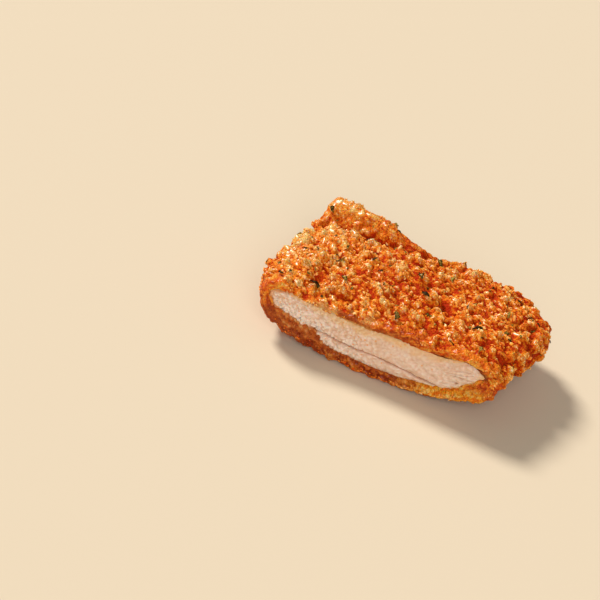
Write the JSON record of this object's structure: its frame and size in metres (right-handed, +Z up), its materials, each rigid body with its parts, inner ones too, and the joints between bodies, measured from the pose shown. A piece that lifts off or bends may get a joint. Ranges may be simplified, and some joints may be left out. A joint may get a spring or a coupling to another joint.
{
  "type": "fried chicken fillet half",
  "caption": "Half of a crumbed, fried chicken breast fillet, cut straight across, with a craggy herb-flecked coating round pale layered meat.",
  "frame": {"origin": "centre of the bounding box at its bottom, on the surface the piece rests on", "axes": "+X along the cut face, to the right as the cut is looked at; +Y from the cut face to the uncut far edge; +Z up"},
  "size_m": [0.0902, 0.0602, 0.0265],
  "materials": {
    "coating": "craggy, crisp, slightly oily golden-orange crumb with dark green herb flakes",
    "meat": "moist, fibrous cooked white meat"
  },
  "bodies": {
    "root": {"crumb_coating": "coating", "chicken_meat": "meat"}
  },
  "joints": []
}
